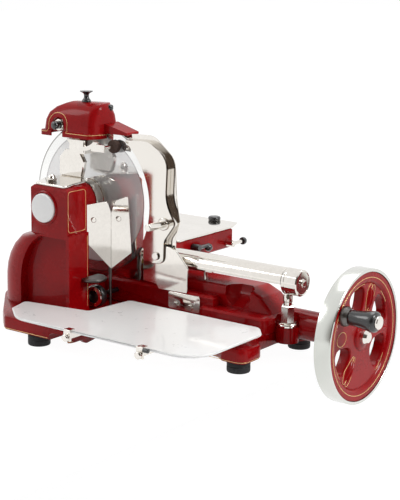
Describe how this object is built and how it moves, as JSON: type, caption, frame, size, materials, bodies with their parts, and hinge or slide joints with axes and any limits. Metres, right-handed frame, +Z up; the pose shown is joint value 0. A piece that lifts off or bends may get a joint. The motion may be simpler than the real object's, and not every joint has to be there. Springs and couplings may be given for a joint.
{
  "type": "hand cranked meat slicer",
  "caption": "Enamelled table slicer with a pierced flywheel, round blade behind a gauge plate, sliding carriage, slice tray and a sharpener under a cover.",
  "frame": {"origin": "on the plane that the feet stand on, straight below the middle of the blade", "axes": "+X along the carriage's travel towards the flywheel, +Y away from the operator, +Z up"},
  "size_m": [0.8419, 0.566, 0.5303],
  "materials": {
    "red_enamel": "gloss enamel",
    "chrome": "polished",
    "blade_steel": "ground and polished",
    "dark_steel": "oiled",
    "brass": "worn",
    "black_gloss": "gloss",
    "rubber": "matt",
    "white_glaze": "gloss",
    "stone": "gritty"
  },
  "bodies": {
    "machine": {"base": "red_enamel", "base_cover": "red_enamel", "foot_front_left": "rubber", "foot_front_right": "rubber", "foot_back_right": "rubber", "foot_back_left": "rubber", "column": "red_enamel", "medallion": "white_glaze", "column_top_plate": "chrome", "cap_nut": "chrome", "slice_tray": "white_glaze", "tray_arm_1": "chrome", "tray_arm_2": "chrome", "tray_clip_1": "chrome", "tray_clip_2": "chrome", "rail": "chrome", "rail_end_cap": "chrome", "rail_post": "chrome", "rail_bracket": "chrome", "rail_foot": "chrome", "back_plate": "chrome", "deflector_rod": "dark_steel", "deflector_left": "chrome", "deflector_right": "chrome", "deflector_arm": "chrome", "sharpener_frame": "chrome", "honing_stone": "stone", "presser_collar": "chrome"},
    "wheel": {"flywheel": "red_enamel", "flywheel_rim": "chrome", "hub_cap": "chrome", "wheel_shaft": "dark_steel", "handle_pin": "dark_steel", "grip_cap": "chrome"},
    "grip": {"hand_grip": "black_gloss"},
    "cross_drive": {"cross_shaft": "dark_steel"},
    "upright_drive": {"upright_shaft": "dark_steel"},
    "cutting_disc": {"blade": "blade_steel", "blade_hub": "chrome", "blade_shaft": "dark_steel"},
    "gauge": {"gauge_plate": "chrome", "gauge_front": "chrome", "lower_plate": "chrome", "gauge_bracket": "chrome", "gauge_stud": "chrome"},
    "gauge_knob": {"thickness_knob": "black_gloss", "knob_ring": "chrome"},
    "sled": {"carriage": "red_enamel", "track_shoe": "brass"},
    "meat_table": {"table": "chrome", "table_knob": "black_gloss"},
    "front_lever": {"lever_front": "black_gloss"},
    "back_lever": {"lever_back": "chrome", "lever_back_ball": "black_gloss"},
    "cover": {"sharpener_cover": "red_enamel", "cover_knob": "black_gloss", "tail_stud": "chrome"},
    "grinder": {"grinding_stone": "stone"},
    "presser": {"presser_knob": "black_gloss"},
    "latch": {"tray_latch": "black_gloss"}
  },
  "joints": [
    {"name": "flywheel_spin", "type": "hinge", "parent": "machine", "child": "wheel", "pos_m": [0.57, 0.064, 0.058], "axis": [1, 0, 0], "continuous": true},
    {"name": "grip_spin", "type": "hinge", "parent": "wheel", "child": "grip", "pos_m": [0.63, -0.01285, 0.11385], "axis": [1, 0, 0], "continuous": true},
    {"name": "cross_spin", "type": "hinge", "parent": "machine", "child": "cross_drive", "pos_m": [0, 0, 0.058], "axis": [0, 1, 0], "continuous": true},
    {"name": "upright_spin", "type": "hinge", "parent": "machine", "child": "upright_drive", "pos_m": [0, -0.106, 0.15], "axis": [0, 0, 1], "continuous": true},
    {"name": "blade_spin", "type": "hinge", "parent": "machine", "child": "cutting_disc", "pos_m": [0, 0, 0.252], "axis": [0, 1, 0], "continuous": true},
    {"name": "knob_turn", "type": "hinge", "parent": "machine", "child": "gauge_knob", "pos_m": [0.066, -0.07, 0.075], "axis": [0, 1, 0], "range_deg": [0, 300]},
    {"name": "gauge_slide", "type": "slide", "parent": "machine", "child": "gauge", "axis": [0, -1, 0], "range_m": [0, 0.004]},
    {"name": "carriage_slide", "type": "slide", "parent": "machine", "child": "sled", "axis": [1, 0, 0], "range_m": [-0.04, 0.22]},
    {"name": "table_slide", "type": "slide", "parent": "sled", "child": "meat_table", "axis": [0, 1, 0], "range_m": [-0.02, 0.06]},
    {"name": "front_lever_turn", "type": "hinge", "parent": "sled", "child": "front_lever", "pos_m": [0.19, 0.094, 0.16], "axis": [1, 0, 0], "range_deg": [-30, 30]},
    {"name": "back_lever_turn", "type": "hinge", "parent": "sled", "child": "back_lever", "pos_m": [0.19, 0.212, 0.148], "axis": [1, 0, 0], "range_deg": [-30, 30]},
    {"name": "cover_lift", "type": "slide", "parent": "machine", "child": "cover", "axis": [0, 0, 1], "range_m": [0, 0.06]},
    {"name": "grinder_spin", "type": "hinge", "parent": "machine", "child": "grinder", "pos_m": [0.062, -0.012, 0.361], "axis": [0, 1, 0], "continuous": true},
    {"name": "presser_turn", "type": "hinge", "parent": "machine", "child": "presser", "pos_m": [-0.058, -0.047, 0.395], "axis": [0, 1, 0], "range_deg": [-90, 90]},
    {"name": "latch_turn", "type": "hinge", "parent": "machine", "child": "latch", "pos_m": [0.363, -0.2885, 0.073], "axis": [1, 0, 0], "range_deg": [-90, 90]}
  ],
  "couplings": [
    {"joint": "cross_spin", "follows": "flywheel_spin", "ratio": 1},
    {"joint": "upright_spin", "follows": "flywheel_spin", "ratio": -2},
    {"joint": "blade_spin", "follows": "flywheel_spin", "ratio": -4},
    {"joint": "knob_turn", "follows": "gauge_slide", "rad_per_m": 1309}
  ]
}
